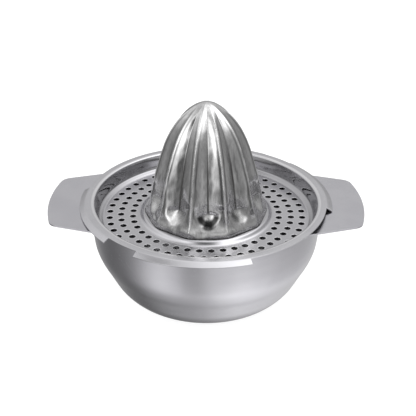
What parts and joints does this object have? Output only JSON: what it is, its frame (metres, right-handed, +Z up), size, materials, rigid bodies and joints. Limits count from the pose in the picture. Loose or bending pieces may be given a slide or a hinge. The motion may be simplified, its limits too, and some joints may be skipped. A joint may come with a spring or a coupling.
{
  "type": "hand citrus juicer",
  "caption": "Stainless steel hand citrus juicer: a bowl with flat ears, and a lift-out strainer pan with a skirt of tabs and a fluted reamer.",
  "frame": {"origin": "middle of the bowl's flat underside, where it stands on the table", "axes": "+X along the ears, +Z up along the reamer's axis, +Y across the ears"},
  "size_m": [0.168, 0.1344, 0.1096],
  "materials": {
    "bowl_satin_steel": "satin stainless steel sheet",
    "strainer_satin_steel": "satin stainless steel sheet, bright drawn wall",
    "reamer_polished_steel": "polished stainless steel sheet"
  },
  "bodies": {
    "bowl_body": {"bowl": "bowl_satin_steel"},
    "insert": {"strainer": "strainer_satin_steel", "reamer": "reamer_polished_steel"}
  },
  "joints": [
    {"name": "insert_lift", "type": "slide", "parent": "bowl_body", "child": "insert", "axis": [0, 0, 1], "range_m": [0, 0.05]}
  ]
}
